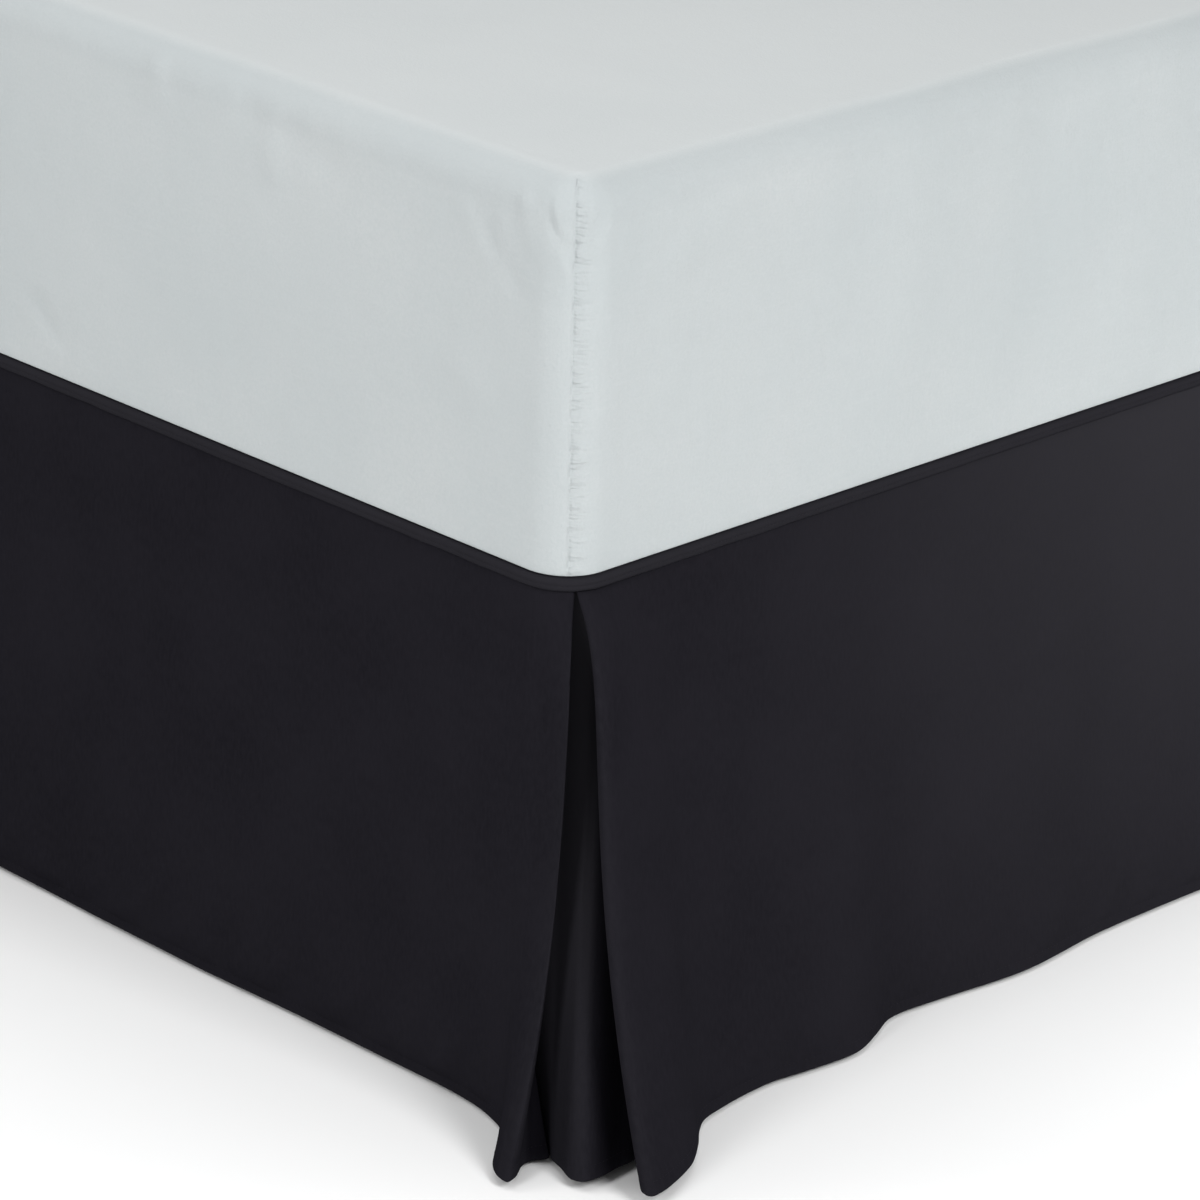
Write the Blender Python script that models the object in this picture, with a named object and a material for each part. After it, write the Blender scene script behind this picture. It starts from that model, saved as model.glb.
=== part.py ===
"""A tailored bed skirt with an inverted pleat at each foot corner, hung on a plain bed.

The skirt is a platform sheet that lies between the bed base and the mattress, and a drop of five panels:
one for the foot, one for each side, and a pleat insert behind each corner. Each panel turns under at the
corner and runs back to the inner fold of the pleat, where the insert joins it. All sizes are in metres,
with the floor at z = 0, the foot of the bed at -Y and its head at +Y.
"""

from collections import namedtuple
from math import cos, exp, pi, sin, sqrt

import bmesh
import bpy
from mathutils import Vector

# The middle of the bed, set so that the footprint of the whole is centred on the origin.
BED_MIDDLE = (-0.0087, 0.0323)

# The bed: a queen size, 60 x 80 inches, under a skirt with a drop of 15 inches.
BED_WIDTH = 1.524
BED_LENGTH = 2.032
PLATFORM_TOP = 0.381
CORNER_RADIUS = 0.032
MATTRESS_DEPTH = 0.254
MATTRESS_TOP_EDGE = 0.024
MATTRESS_FOOT_EDGE = 0.004
BASE_DEPTH = 0.200
BASE_INSET = 0.008
BASE_CORNER = 0.024
BASE_EDGE = 0.006
LEG_TOP_RADIUS = 0.032
LEG_FOOT_RADIUS = 0.024
LEG_EDGE = 0.002
LEG_SIDES = 20
LEG_FROM_SIDE = 0.100
LEG_FROM_END = 0.120
PIECE_GAP = 0.0003

# The cloth.
CLOTH = 0.0015
PLATFORM_CLOTH = 0.0012
LAYER_PITCH = 0.0020
RIM_DROP = 0.0135
RIM_BEND = 0.004
RIM_STEPS = 4
CORNER_STEPS = 8
HEM_CLEARANCE = 0.003
HEM_RISE_SHARE = 0.35
PLEAT_DEPTH = 0.100
PLEAT_SHIFT = 0.0075
FOLD_GAP = 0.0006

SEAM_GAP = 0.0008
SEAM_Z = PLATFORM_TOP - RIM_DROP - SEAM_GAP
DROP = SEAM_Z - HEM_CLEARANCE
FACE_LAYER = CLOTH / 2
RETURN_LAYER = FACE_LAYER + LAYER_PITCH
INSERT_LAYER = RETURN_LAYER + LAYER_PITCH
TURN_RADIUS = LAYER_PITCH / 2
HALF_TURN = TURN_RADIUS * pi / 2
CORNER_BEND = CORNER_RADIUS * pi / 4

# Heights at which the cloth bends, as shares of the drop below the seam.
ROWS = (0.0, 0.03, 0.10, 0.22, 0.38, 0.54, 0.70, 0.85, 1.0)
SPRING_LENGTH = 0.09
STEPS = 3
SWELL_STEPS = 2

# One row for each bend of the hem. "cloth" is the distance from the pleat's fold, measured along the seam,
# positive where the cloth has turned under. "out_x" and "out_y" place the hem from the bed's corner, out of
# the side and back from the foot. "spring" is the share of the flare that opens just under the seam, and
# "power" bends the rest of it.
Bend = namedtuple("Bend", "cloth out_x out_y spring power")

FOOT_BENDS = (
    Bend(-0.426, -0.4300, -0.0022, 0.00, 1.2),
    Bend(-0.322, -0.3260, -0.0032, 0.00, 1.2),
    Bend(-0.226, -0.2290, 0.0000, 0.00, 1.4),
    Bend(-0.135, -0.1320, -0.0004, 0.00, 2.0),
    Bend(-0.100, -0.0900, -0.0016, 0.00, 3.0),
    Bend(-0.072, -0.0560, -0.0040, 0.01, 3.4),
    Bend(-0.050, -0.0330, -0.0110, 0.02, 3.5),
    Bend(-0.034, -0.0180, -0.0200, 0.02, 3.5),
    Bend(-0.012, 0.0110, -0.0535, 0.02, 3.5),
    Bend(-HALF_TURN, 0.0240, -0.0632, 0.02, 3.5),
    Bend(0.0, 0.0342, -0.0637, 0.02, 3.5),
    Bend(HALF_TURN, 0.0330, -0.0570, 0.02, 3.5),
    Bend(0.016, 0.0208, -0.0388, 0.02, 3.5),
    Bend(0.026, 0.0226, -0.0292, 0.01, 3.5),
    Bend(0.036, 0.0206, -0.0230, 0.01, 3.7),
    Bend(0.050, 0.0060, -0.0155, 0.00, 4.2),
    Bend(PLEAT_DEPTH, -0.0600, 0.0030, 0.00, 4.5),
)

SIDE_BENDS = (
    Bend(PLEAT_DEPTH, 0.0440, 0.0860, 0.02, 2.0),
    Bend(0.050, 0.0735, 0.0360, 0.06, 2.4),
    Bend(0.022, 0.0870, 0.0110, 0.14, 2.4),
    Bend(HALF_TURN, 0.0965, -0.0086, 0.28, 2.3),
    Bend(0.0, 0.1070, -0.0158, 0.30, 2.3),
    Bend(-HALF_TURN, 0.1118, -0.0080, 0.30, 2.3),
    Bend(-0.014, 0.1082, 0.0085, 0.28, 2.1),
    Bend(-0.034, 0.0968, 0.0335, 0.22, 1.9),
    Bend(-0.056, 0.0828, 0.0580, 0.12, 1.7),
    Bend(-0.074, 0.0660, 0.0765, 0.06, 1.5),
    Bend(-0.092, 0.0548, 0.0936, 0.03, 1.3),
)

INSERT_BENDS = (
    Bend(-PLEAT_DEPTH, -0.0590, 0.0065, 0.00, 4.5),
    Bend(-0.046, 0.0000, -0.0085, 0.00, 4.3),
    Bend(-0.014, 0.0236, -0.0188, 0.00, 3.9),
    Bend(-0.003, 0.0296, -0.0204, 0.00, 3.6),
    Bend(0.008, 0.0394, -0.0238, 0.02, 3.0),
    Bend(0.018, 0.0537, -0.0293, 0.05, 2.6),
    Bend(0.030, 0.0632, -0.0262, 0.05, 2.4),
    Bend(0.044, 0.0656, -0.0140, 0.05, 2.4),
    Bend(0.060, 0.0644, 0.0040, 0.04, 2.4),
    Bend(0.076, 0.0610, 0.0260, 0.03, 2.4),
    Bend(PLEAT_DEPTH, 0.0400, 0.0830, 0.00, 2.2),
)

# Crests and hollows of the side hems, from the pleat to the head: how far along the side, and how far out
# the hem hangs there on the right and on the left side of the bed.
Swell = namedtuple("Swell", "along right left")

SIDE_SWELLS = (
    Swell(0.150, 0.0450, 0.0430),
    Swell(0.190, 0.0480, 0.0400),
    Swell(0.235, 0.0520, 0.0360),
    Swell(0.268, 0.0415, 0.0330),
    Swell(0.300, 0.0302, 0.0340),
    Swell(0.350, 0.0345, 0.0400),
    Swell(0.420, 0.0422, 0.0450),
    Swell(0.505, 0.0350, 0.0390),
    Swell(0.610, 0.0345, 0.0300),
    Swell(0.760, 0.0430, 0.0350),
    Swell(0.900, 0.0330, 0.0440),
    Swell(1.060, 0.0400, 0.0320),
    Swell(1.240, 0.0310, 0.0380),
    Swell(1.420, 0.0410, 0.0300),
    Swell(1.620, 0.0320, 0.0400),
    Swell(1.820, 0.0360, 0.0310),
)
HEAD_HEM_OUT = 0.028
SWELL_POWER = 1.2

# The open pleat draws the side's hem towards the foot, less and less along the side.
PLEAT_PULL = 0.014
PULL_LENGTH = 0.40
SEAM_START = CORNER_RADIUS - CORNER_BEND

# How far the pleats stand open: the right one as it shows, the left one a little less.
OPENNESS = {1: 1.0, -1: 0.85}

Colour = namedtuple("Colour", "red green blue roughness")
SKIRT_CLOTH = Colour(0.018, 0.017, 0.022, 0.85)
SHEET_CLOTH = Colour(0.62, 0.67, 0.67, 0.80)
BASE_TICKING = Colour(0.55, 0.54, 0.50, 0.90)
LEG_FINISH = Colour(0.030, 0.028, 0.026, 0.45)


def clear_scene():
    for obj in list(bpy.data.objects):
        bpy.data.objects.remove(obj, do_unlink=True)


def material(name, colour):
    made = bpy.data.materials.new(name)
    made.use_nodes = True
    shader = made.node_tree.nodes["Principled BSDF"]
    shader.inputs["Base Color"].default_value = (colour.red, colour.green, colour.blue, 1.0)
    shader.inputs["Roughness"].default_value = colour.roughness
    shader.inputs["Metallic"].default_value = 0.0
    return made


def finished(name, shape, look, smooth_angle=0.7):
    """The bmesh as a named object with its material."""
    bmesh.ops.recalc_face_normals(shape, faces=shape.faces)
    mesh = bpy.data.meshes.new(name)
    shape.to_mesh(mesh)
    shape.free()
    mesh.materials.append(look)
    mesh.shade_smooth()
    mesh.set_sharp_from_angle(angle=smooth_angle)
    obj = bpy.data.objects.new(name, mesh)
    bpy.context.scene.collection.objects.link(obj)
    return obj


def thickened(obj, thickness):
    """The object's sheet as a closed solid, half of its thickness to each side."""
    solid = obj.modifiers.new("Thickness", "SOLIDIFY")
    solid.thickness = thickness
    solid.offset = 0.0
    return obj


def edge_point(along, depth):
    """A point on the bed's edge at a foot corner, in that corner's frame.

    along runs round the corner from its middle, negative to the foot and positive to the side, and depth
    goes in from the outer face of the skirt.
    """
    if abs(along) <= CORNER_BEND:
        turn = along / CORNER_RADIUS - pi / 4
        reach = CORNER_RADIUS - depth
        return Vector((reach * cos(turn) - CORNER_RADIUS, reach * sin(turn) + CORNER_RADIUS))
    if along < 0:
        return Vector((along + CORNER_BEND - CORNER_RADIUS, depth))
    return Vector((-depth, along - CORNER_BEND + CORNER_RADIUS))


def panel_seam(cloth, facing):
    """Where a panel's cloth lies at the seam: it runs to the pleat, turns under and goes back.

    facing is 1 for the foot panel and -1 for a side panel.
    """
    fold = -FOLD_GAP / 2 - CLOTH / 2 - TURN_RADIUS
    if cloth < -HALF_TURN:
        along, depth = fold + cloth + HALF_TURN, FACE_LAYER
    elif cloth > HALF_TURN:
        along, depth = fold - cloth + HALF_TURN, RETURN_LAYER
    else:
        turn = pi / 2 + cloth / TURN_RADIUS
        along = fold + TURN_RADIUS * sin(turn)
        depth = FACE_LAYER + TURN_RADIUS * (1 - cos(turn))
    return edge_point(PLEAT_SHIFT + facing * along, depth)


def insert_seam(cloth, _facing):
    return edge_point(PLEAT_SHIFT + cloth, INSERT_LAYER)


def between(points, span, share):
    """A point on the smooth curve through a list of vectors, in the given span."""
    here, there = points[span], points[span + 1]
    before = points[span - 1] if span else here + (here - there)
    after = points[span + 2] if span + 2 < len(points) else there + (there - here)
    knots = [0.0]
    for first, second in ((before, here), (here, there), (there, after)):
        knots.append(knots[-1] + max(sqrt((second - first).length), 1e-4))
    at = knots[1] + share * (knots[2] - knots[1])

    def mix(first, second, low, high):
        return first + (second - first) * ((at - low) / (high - low))

    near = mix(before, here, knots[0], knots[1])
    middle = mix(here, there, knots[1], knots[2])
    far = mix(there, after, knots[2], knots[3])
    return mix(mix(near, middle, knots[0], knots[2]), mix(middle, far, knots[1], knots[3]), knots[1], knots[2])


# One upright line of the drop: where it leaves the seam, where it ends at the hem, and how it flares.
Column = namedtuple("Column", "seam hem spring power")


def columns_of(bends, seam_of, facing, openness, steps=STEPS):
    """The upright lines of a panel, with this many steps from each bend of the hem to the next."""
    hems = [Vector((bend.out_x, bend.out_y)) for bend in bends]
    made = []
    for span in range(len(bends) - 1):
        first, second = bends[span], bends[span + 1]
        last = span == len(bends) - 2
        for step in range(steps + last):
            share = step / steps
            cloth = first.cloth + (second.cloth - first.cloth) * share
            seam = seam_of(cloth, facing)
            hem = seam + (between(hems, span, share) - seam) * openness
            spring = first.spring + (second.spring - first.spring) * share
            power = first.power + (second.power - first.power) * share
            made.append(Column(seam, hem, spring, power))
    return made


def world(point, side):
    """A point of a corner's frame where it stands. side is 1 for the right corner and -1 for the left."""
    return Vector((BED_MIDDLE[0] + side * (BED_WIDTH / 2 + point.x), BED_MIDDLE[1] + point.y - BED_LENGTH / 2))


def placed(columns, side):
    return [column._replace(seam=world(column.seam, side), hem=world(column.hem, side)) for column in columns]


def hung_cloth(name, columns, look):
    """A panel of the drop: a grid with a column of points for each upright line, then its thickness."""
    shape = bmesh.new()
    bmesh.ops.create_grid(shape, x_segments=len(columns) - 1, y_segments=len(ROWS) - 1, size=1.0)
    for index, point in enumerate(shape.verts):
        row = ROWS[index // len(columns)]
        column = columns[index % len(columns)]
        opened = column.spring * (1 - exp(-row / SPRING_LENGTH))
        flare = opened + (1 - column.spring) * row**column.power
        travel = (column.hem - column.seam).length
        rise = HEM_RISE_SHARE * (DROP - sqrt(DROP**2 - travel**2))
        across = column.seam + (column.hem - column.seam) * flare
        point.co = (*across, SEAM_Z - (DROP - rise) * row)
    return thickened(finished(name, shape, look), CLOTH)


def foot_panel(look):
    """The foot's drop, from one corner pleat to the other."""
    middle = Vector((BED_MIDDLE[0], BED_MIDDLE[1] + FACE_LAYER - BED_LENGTH / 2))
    right = placed(columns_of(FOOT_BENDS, panel_seam, 1, OPENNESS[1]), 1)
    left = placed(columns_of(FOOT_BENDS, panel_seam, 1, OPENNESS[-1]), -1)
    hung_cloth("foot_panel", left[::-1] + [Column(middle, middle, 0.0, 1.0)] + right, look)


def side_panel(name, side, look):
    """A side's drop: the pleat's fold, then the crests and hollows of its hem, on to the head."""
    corner = columns_of(SIDE_BENDS, panel_seam, -1, OPENNESS[side])
    swells = [SIDE_BENDS[-1]]
    for swell in SIDE_SWELLS:
        out = swell.right if side > 0 else swell.left
        pull = PLEAT_PULL * exp(-(swell.along - SIDE_SWELLS[0].along) / PULL_LENGTH)
        cloth = PLEAT_SHIFT + SEAM_START - swell.along - pull
        swells.append(Bend(cloth, out / OPENNESS[side], swell.along, 0.0, SWELL_POWER))
    swells.append(Bend(PLEAT_SHIFT + SEAM_START - BED_LENGTH, HEAD_HEM_OUT, BED_LENGTH, 0.0, SWELL_POWER))
    along = columns_of(swells, panel_seam, -1, OPENNESS[side], SWELL_STEPS)
    hung_cloth(name, placed(corner + along[1:], side), look)


def pleat_insert(name, side, look):
    hung_cloth(name, placed(columns_of(INSERT_BENDS, insert_seam, 1, OPENNESS[side]), side), look)


def platform(look):
    """The sheet on the base: flat on top, turned down over the base's edge on three sides."""
    head = BED_LENGTH + CORNER_BEND - CORNER_RADIUS
    arc = [CORNER_BEND * (2 * step / CORNER_STEPS - 1) for step in range(CORNER_STEPS + 1)]
    path = [(-1, along) for along in [head] + arc[::-1]] + [(1, along) for along in arc + [head]]
    turns = [(step / RIM_STEPS) * pi / 2 for step in range(RIM_STEPS + 1)]
    bend = RIM_BEND - PLATFORM_CLOTH / 2
    levels = [(RIM_BEND - bend * sin(turn), PLATFORM_TOP - RIM_BEND + bend * cos(turn)) for turn in turns]
    levels.append((PLATFORM_CLOTH / 2, PLATFORM_TOP - RIM_DROP))
    shape = bmesh.new()
    lines = []
    for depth, height in levels:
        points = [world(edge_point(along, depth), side) for side, along in path]
        lines.append([shape.verts.new((*point, height)) for point in points])
    shape.faces.new(lines[0])
    for upper, lower in zip(lines, lines[1:]):
        for quad in zip(upper, upper[1:], lower[1:], lower):
            shape.faces.new(quad)
    thickened(finished("platform", shape, look), PLATFORM_CLOTH)


def rounded_block(name, size, bottom, corner, top_edge, foot_edge, look):
    """A block with round upright corners, and its top and bottom edges rounded over."""
    width, length, depth = size
    shape = bmesh.new()
    bmesh.ops.create_cube(shape, size=1.0)
    bmesh.ops.scale(shape, vec=size, verts=shape.verts)
    bmesh.ops.translate(shape, vec=(*BED_MIDDLE, bottom + depth / 2), verts=shape.verts)
    upright = [edge for edge in shape.edges if abs(edge.verts[0].co.z - edge.verts[1].co.z) > depth / 2]
    bmesh.ops.bevel(shape, geom=upright, offset=corner, segments=8, profile=0.5, affect="EDGES")
    for height, radius, segments in ((bottom + depth, top_edge, 5), (bottom, foot_edge, 3)):
        rim = [edge for edge in shape.edges if all(abs(point.co.z - height) < 1e-5 for point in edge.verts)]
        bmesh.ops.bevel(shape, geom=rim, offset=radius, segments=segments, profile=0.5, affect="EDGES")
    finished(name, shape, look)


def leg(name, place, top, look):
    shape = bmesh.new()
    bmesh.ops.create_cone(
        shape, cap_ends=True, segments=LEG_SIDES, radius1=LEG_FOOT_RADIUS, radius2=LEG_TOP_RADIUS, depth=top
    )
    rims = [edge for edge in shape.edges if abs(edge.verts[0].co.z - edge.verts[1].co.z) < 1e-6]
    bmesh.ops.bevel(shape, geom=rims, offset=LEG_EDGE, segments=2, profile=0.5, affect="EDGES")
    bmesh.ops.translate(shape, vec=(BED_MIDDLE[0] + place[0], BED_MIDDLE[1] + place[1], top / 2), verts=shape.verts)
    finished(name, shape, look)


def main():
    clear_scene()
    skirt_look = material("skirt_cloth", SKIRT_CLOTH)
    sheet_look = material("sheet_cloth", SHEET_CLOTH)
    ticking = material("base_ticking", BASE_TICKING)
    leg_look = material("leg_finish", LEG_FINISH)

    platform(skirt_look)
    foot_panel(skirt_look)
    for side, word in ((1, "right"), (-1, "left")):
        side_panel(f"side_panel_{word}", side, skirt_look)
        pleat_insert(f"pleat_insert_{word}", side, skirt_look)

    rounded_block(
        "mattress", (BED_WIDTH, BED_LENGTH, MATTRESS_DEPTH), PLATFORM_TOP + PIECE_GAP,
        CORNER_RADIUS, MATTRESS_TOP_EDGE, MATTRESS_FOOT_EDGE, sheet_look,
    )
    base_top = PLATFORM_TOP - PLATFORM_CLOTH - PIECE_GAP
    base_bottom = base_top - BASE_DEPTH
    rounded_block(
        "bed_base", (BED_WIDTH - 2 * BASE_INSET, BED_LENGTH - 2 * BASE_INSET, BASE_DEPTH), base_bottom,
        BASE_CORNER, BASE_EDGE, BASE_EDGE, ticking,
    )
    leg_top = base_bottom - PIECE_GAP
    leg_x = BED_WIDTH / 2 - LEG_FROM_SIDE
    leg_y = BED_LENGTH / 2 - LEG_FROM_END
    for word_y, y in (("foot", -leg_y), ("head", leg_y)):
        for word_x, x in (("left", -leg_x), ("right", leg_x)):
            leg(f"leg_{word_y}_{word_x}", (x, y), leg_top, leg_look)


main()
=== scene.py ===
from collections import namedtuple
from math import atan2, cos, exp, hypot, pi, radians, sin, sqrt

import bmesh
import bpy
from mathutils import Matrix, Vector, noise

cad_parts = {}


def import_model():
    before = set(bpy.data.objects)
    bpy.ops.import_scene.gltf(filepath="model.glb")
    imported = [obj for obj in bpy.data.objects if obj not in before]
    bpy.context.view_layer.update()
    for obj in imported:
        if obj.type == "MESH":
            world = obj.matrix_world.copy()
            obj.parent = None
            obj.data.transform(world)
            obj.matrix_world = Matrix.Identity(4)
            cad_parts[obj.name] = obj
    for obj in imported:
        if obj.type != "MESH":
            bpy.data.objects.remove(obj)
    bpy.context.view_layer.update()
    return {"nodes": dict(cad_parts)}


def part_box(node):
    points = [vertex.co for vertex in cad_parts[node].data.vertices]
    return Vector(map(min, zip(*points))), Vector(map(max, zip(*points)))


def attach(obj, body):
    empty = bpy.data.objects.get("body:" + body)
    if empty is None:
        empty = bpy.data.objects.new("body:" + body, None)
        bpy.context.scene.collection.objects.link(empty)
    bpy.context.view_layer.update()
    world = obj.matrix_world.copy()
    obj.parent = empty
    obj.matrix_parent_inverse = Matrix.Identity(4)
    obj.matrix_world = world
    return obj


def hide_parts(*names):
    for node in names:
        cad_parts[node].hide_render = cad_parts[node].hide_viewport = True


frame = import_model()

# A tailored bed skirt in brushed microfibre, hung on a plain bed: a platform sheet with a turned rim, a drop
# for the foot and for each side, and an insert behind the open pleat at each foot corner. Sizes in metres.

# The bed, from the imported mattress.
BED_LOW, BED_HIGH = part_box("mattress")
BED_MIDDLE = ((BED_LOW + BED_HIGH) / 2).xy
BED_WIDTH = BED_HIGH.x - BED_LOW.x
BED_LENGTH = BED_HIGH.y - BED_LOW.y
UNDER_MATTRESS = 0.0003
PLATFORM_TOP = BED_LOW.z - UNDER_MATTRESS
CORNER_RADIUS = 0.032
CORNER_BEND = CORNER_RADIUS * pi / 4

# The skirt's cloth and the layers of its pleats.
CLOTH = 0.0010
LAYER_PITCH = 0.0020
FACE_LAYER = 0.00075
RETURN_LAYER = FACE_LAYER + LAYER_PITCH
INSERT_LAYER = RETURN_LAYER + LAYER_PITCH
TURN_RADIUS = LAYER_PITCH / 2
HALF_TURN = TURN_RADIUS * pi / 2
FOLD_GAP = 0.0006
FOLD_AT = FOLD_GAP / 2 + FACE_LAYER + TURN_RADIUS
PLEAT_DEPTH = 0.100
PLEAT_SHIFT = 0.0075
SEAM_BELOW_TOP = 0.0095
SEAM_Z = PLATFORM_TOP - SEAM_BELOW_TOP
HEM_CLEARANCE = 0.003
HEM_RISE_SHARE = 0.35
DROP = SEAM_Z - HEM_CLEARANCE
HEM_BAND = 0.007
SPRING_LENGTH = 0.09
COLUMN_STEP = 0.0052
LEAST_STEPS = 4
FAR_FROM_PLEAT = -0.5

# How far below the seam, and how far above the hem, the lines of points lie.
LINES_BELOW_SEAM = (0.0, 0.0012, 0.0026, 0.0045, 0.007, 0.010, 0.014, 0.019, 0.025)
LINES_ABOVE_HEM = (
    0.052, 0.0455, 0.0395, 0.034, 0.029, 0.0245, 0.0205, 0.017, 0.014, 0.0115, 0.0095, 0.0081, 0.0070, 0.0060,
    0.0046, 0.0030, 0.0014, 0.0004, 0.0,
)
MIDDLE_LINES = 34

# One row for each bend of the hem. "cloth" is the distance from the pleat's fold, measured along the seam,
# positive where the cloth has turned under. "out_x" and "out_y" place the hem from the bed's corner, out of
# the side and back from the foot. "spring" is the share of the flare that opens just under the seam, and
# "power" bends the rest of it.
Bend = namedtuple("Bend", "cloth out_x out_y spring power")

FOOT_BENDS = [Bend(*row) for row in (
    (-0.426, -0.4295, -0.0015, 0.00, 1.2), (-0.322, -0.3255, -0.0021, 0.00, 1.2),
    (-0.226, -0.2288, 0.0006, 0.00, 1.4), (-0.135, -0.1320, 0.0004, 0.00, 2.0),
    (-0.100, -0.0929, 0.0006, 0.00, 3.0), (-0.072, -0.0592, -0.0024, 0.01, 3.4),
    (-0.050, -0.0385, -0.0078, 0.02, 3.5), (-0.034, -0.0235, -0.0145, 0.02, 3.5),
    (-0.012, 0.0095, -0.0530, 0.02, 3.5), (-HALF_TURN, 0.0238, -0.0630, 0.02, 3.5),
    (0.0, 0.0345, -0.0646, 0.02, 3.5), (HALF_TURN, 0.0330, -0.0572, 0.02, 3.5), (0.016, 0.0222, -0.0400, 0.02, 3.5),
    (0.026, 0.0210, -0.0290, 0.01, 3.5), (0.034, 0.0256, -0.0201, 0.01, 3.7), (0.042, 0.0165, -0.0160, 0.00, 4.0),
    (0.055, -0.0005, -0.0108, 0.00, 4.2), (PLEAT_DEPTH, -0.0600, 0.0030, 0.00, 4.5),
)]

SIDE_BENDS = [Bend(*row) for row in (
    (PLEAT_DEPTH, 0.0440, 0.0860, 0.02, 2.0), (0.050, 0.0735, 0.0360, 0.06, 2.4),
    (0.022, 0.0870, 0.0110, 0.14, 2.4), (HALF_TURN, 0.0970, -0.0094, 0.28, 2.3), (0.0, 0.1068, -0.0158, 0.30, 2.3),
    (-HALF_TURN, 0.1114, -0.0142, 0.30, 2.3), (-0.009, 0.1109, -0.0050, 0.29, 2.2),
    (-0.019, 0.1074, 0.0080, 0.26, 2.1), (-0.038, 0.0962, 0.0368, 0.20, 1.9), (-0.050, 0.0879, 0.0498, 0.15, 1.8),
    (-0.064, 0.0762, 0.0648, 0.10, 1.7), (-0.077, 0.0634, 0.0790, 0.06, 1.7), (-0.089, 0.0550, 0.0915, 0.04, 1.7),
    (-0.099, 0.0512, 0.1022, 0.03, 1.7),
)]

INSERT_BENDS = [Bend(*row) for row in (
    (-PLEAT_DEPTH, -0.0590, 0.0088, 0.00, 4.5), (-0.042, -0.0005, -0.0060, 0.00, 4.3),
    (-0.022, 0.0195, -0.0138, 0.00, 4.1), (-0.009, 0.0281, -0.0196, 0.00, 3.8),
    (-0.003, 0.0306, -0.0204, 0.00, 3.6), (0.007, 0.0420, -0.0246, 0.02, 3.0), (0.018, 0.0576, -0.0320, 0.05, 2.6),
    (0.028, 0.0668, -0.0300, 0.05, 2.4), (0.042, 0.0698, -0.0189, 0.05, 2.4), (0.060, 0.0676, -0.0004, 0.04, 2.4),
    (0.074, 0.0668, 0.0163, 0.03, 2.4), (PLEAT_DEPTH, 0.0400, 0.0830, 0.00, 2.2),
)]

# Crests and hollows of the side hems, from the pleat to the head: how far along the side, and how far out
# the hem hangs there on the right and on the left side of the bed.
Swell = namedtuple("Swell", "along right left")

SIDE_SWELLS = [Swell(*row) for row in (
    (0.128, 0.0472, 0.0450), (0.149, 0.0450, 0.0430), (0.170, 0.0443, 0.0410), (0.190, 0.0472, 0.0400),
    (0.232, 0.0516, 0.0360), (0.247, 0.0500, 0.0345), (0.270, 0.0406, 0.0330), (0.293, 0.0304, 0.0338),
    (0.308, 0.0286, 0.0350), (0.350, 0.0324, 0.0400), (0.420, 0.0398, 0.0450), (0.505, 0.0328, 0.0390),
    (0.610, 0.0328, 0.0300), (0.760, 0.0410, 0.0350), (0.900, 0.0330, 0.0440), (1.060, 0.0400, 0.0320),
    (1.240, 0.0310, 0.0380), (1.420, 0.0410, 0.0300), (1.620, 0.0320, 0.0400), (1.820, 0.0360, 0.0310),
)]
HEAD_HEM_OUT = 0.028
SWELL_POWER = 1.7
PLEAT_PULL = 0.013
PULL_LENGTH = 0.40
SEAM_START = CORNER_RADIUS - CORNER_BEND
OPENNESS = {1: 1.0, -1: 0.85}
FOOT_HANGS_IN = 0.0034

# Soft ridges and hollows of a cloth, each on the line from one place to another. A place is the distance along
# the cloth from the bed's corner, and the distance across it: down from the seam on a drop, and up from the
# mattress's foot on the fitted sheet. "stands" is how far the ridge stands out, or in.
Ridge = namedtuple("Ridge", "along across to_along to_across width stands")

# Puckers over the hem's stitching: where each one is, how wide it is, how high its swell lies above the
# stitching, how far the swell stands out, and how much it leans with its height.
Pucker = namedtuple("Pucker", "along width high stands lean")

Relief = namedtuple("Relief", "folds puckers")


def relief(folds, puckers):
    return Relief([Ridge(*row) for row in folds], [Pucker(*row) for row in puckers])


FOOT_RIGHT_RELIEF = relief(
    folds=(
        (0.205, 0.270, 0.212, 0.345, 0.012, 0.0004), (0.300, 0.050, 0.330, 0.300, 0.070, 0.0007),
        (0.100, 0.060, 0.110, 0.260, 0.050, 0.0006), (0.460, 0.040, 0.430, 0.280, 0.060, -0.0006),
    ),
    puckers=(
        (0.066, 0.0128, 0.010, 0.0033, -0.3), (0.104, 0.0136, 0.016, 0.0069, -0.5),
        (0.134, 0.0104, 0.011, 0.0033, -0.5), (0.156, 0.0096, 0.014, 0.0048, -0.8),
        (0.203, 0.0160, 0.020, 0.0069, -0.7), (0.262, 0.0112, 0.018, 0.0069, -0.6),
        (0.286, 0.0088, 0.012, 0.0033, -0.3), (0.318, 0.0104, 0.010, 0.0029, -0.2),
        (0.352, 0.0176, 0.018, 0.0045, -0.9), (0.403, 0.0176, 0.020, 0.0073, -0.8),
        (0.450, 0.0080, 0.014, 0.0036, -0.9), (0.492, 0.0192, 0.012, 0.0045, 0.3),
        (0.540, 0.0144, 0.012, 0.0040, -0.4), (0.600, 0.0176, 0.016, 0.0048, -0.6),
        (0.665, 0.0128, 0.012, 0.0040, -0.4), (0.720, 0.0160, 0.017, 0.0053, -0.6),
    ),
)

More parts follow.
